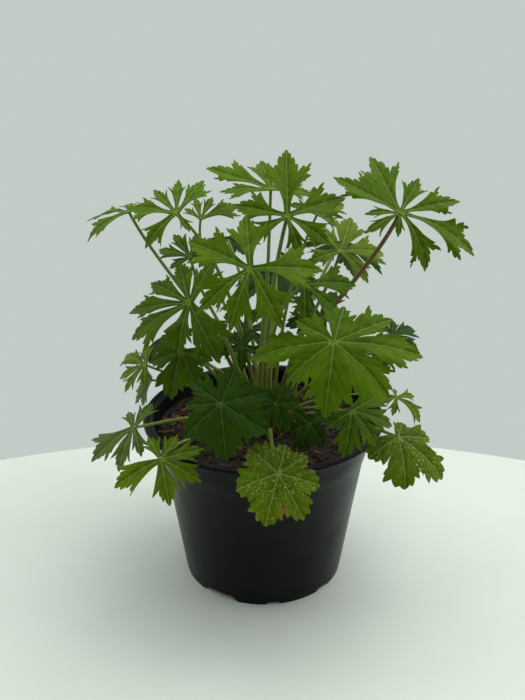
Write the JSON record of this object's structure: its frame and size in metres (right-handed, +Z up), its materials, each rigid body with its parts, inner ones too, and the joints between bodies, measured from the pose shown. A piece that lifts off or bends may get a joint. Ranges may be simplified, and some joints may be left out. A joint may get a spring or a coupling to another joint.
{
  "type": "potted delphinium",
  "caption": "Young delphinium plant with palmate toothed leaves on slender stalks, growing in soil in a round tapered nursery pot.",
  "frame": {"origin": "middle of the pot's base, on the surface it stands on", "axes": "+Z up along the pot's axis, -Y towards the viewer of the picture, +X to the viewer's right"},
  "size_m": [0.2597, 0.2433, 0.3034],
  "materials": {
    "pot": "satin black polypropylene",
    "soil": "loose damp potting compost with bark",
    "leaf_top": "living leaf, soft matt green with fine hairs",
    "leaf_centre": "living leaf, soft matt green with fine hairs",
    "leaf_right_broad": "living leaf, soft matt green with fine hairs",
    "leaf_right_high": "living leaf, soft matt green with fine hairs",
    "leaf_top_back": "living leaf, soft matt green with fine hairs",
    "leaf_top_behind": "living leaf, soft matt green with fine hairs",
    "leaf_far_left_high": "living leaf, soft matt green with fine hairs",
    "leaf_left_high": "living leaf, soft matt green with fine hairs",
    "leaf_left_high_small": "living leaf, soft matt green with fine hairs",
    "leaf_left_inner": "living leaf, soft matt green with fine hairs",
    "leaf_left_mid": "living leaf, soft matt green with fine hairs",
    "leaf_right_inner": "living leaf, soft matt green with fine hairs",
    "leaf_centre_small": "living leaf, soft matt green with fine hairs",
    "leaf_right_mid": "living leaf, soft matt green with fine hairs",
    "leaf_right_low": "living leaf, soft matt green with fine hairs",
    "leaf_far_right_low": "living leaf, soft matt green with fine hairs",
    "leaf_right_low_small": "living leaf, soft matt green with fine hairs",
    "leaf_left_low_small": "living leaf, soft matt green with fine hairs",
    "leaf_left_low": "living leaf, soft matt green with fine hairs",
    "leaf_left_folded": "living leaf, soft matt green with fine hairs",
    "leaf_front_dark": "living leaf, soft matt green with fine hairs",
    "leaf_far_left_low": "living leaf, soft matt green with fine hairs",
    "leaf_front_left_low": "living leaf, soft matt green with fine hairs",
    "leaf_front_old": "living leaf, soft matt green with fine hairs",
    "leaf_inner_left": "living leaf, soft matt green with fine hairs",
    "leaf_inner_right": "living leaf, soft matt green with fine hairs",
    "leaf_inner_mid": "living leaf, soft matt green with fine hairs",
    "leaf_back_high_left": "living leaf, soft matt green with fine hairs",
    "leaf_back_high_right": "living leaf, soft matt green with fine hairs",
    "leaf_back_mid": "living leaf, soft matt green with fine hairs",
    "leaf_back_left_low": "living leaf, soft matt green with fine hairs",
    "leaf_back_right_low": "living leaf, soft matt green with fine hairs",
    "leaf_inner_front": "living leaf, soft matt green with fine hairs",
    "leaf_inner_far_right": "living leaf, soft matt green with fine hairs"
  },
  "bodies": {
    "root": {"pot": "pot", "soil": "soil", "leaf_top": "leaf_top", "leaf_centre": "leaf_centre", "leaf_right_broad": "leaf_right_broad", "leaf_right_high": "leaf_right_high", "leaf_top_back": "leaf_top_back", "leaf_top_behind": "leaf_top_behind", "leaf_far_left_high": "leaf_far_left_high", "leaf_left_high": "leaf_left_high", "leaf_left_high_small": "leaf_left_high_small", "leaf_left_inner": "leaf_left_inner", "leaf_left_mid": "leaf_left_mid", "leaf_right_inner": "leaf_right_inner", "leaf_centre_small": "leaf_centre_small", "leaf_right_mid": "leaf_right_mid", "leaf_right_low": "leaf_right_low", "leaf_far_right_low": "leaf_far_right_low", "leaf_right_low_small": "leaf_right_low_small", "leaf_left_low_small": "leaf_left_low_small", "leaf_left_low": "leaf_left_low", "leaf_left_folded": "leaf_left_folded", "leaf_front_dark": "leaf_front_dark", "leaf_far_left_low": "leaf_far_left_low", "leaf_front_left_low": "leaf_front_left_low", "leaf_front_old": "leaf_front_old", "leaf_inner_left": "leaf_inner_left", "leaf_inner_right": "leaf_inner_right", "leaf_inner_mid": "leaf_inner_mid", "leaf_back_high_left": "leaf_back_high_left", "leaf_back_high_right": "leaf_back_high_right", "leaf_back_mid": "leaf_back_mid", "leaf_back_left_low": "leaf_back_left_low", "leaf_back_right_low": "leaf_back_right_low", "leaf_inner_front": "leaf_inner_front", "leaf_inner_far_right": "leaf_inner_far_right"}
  },
  "joints": []
}
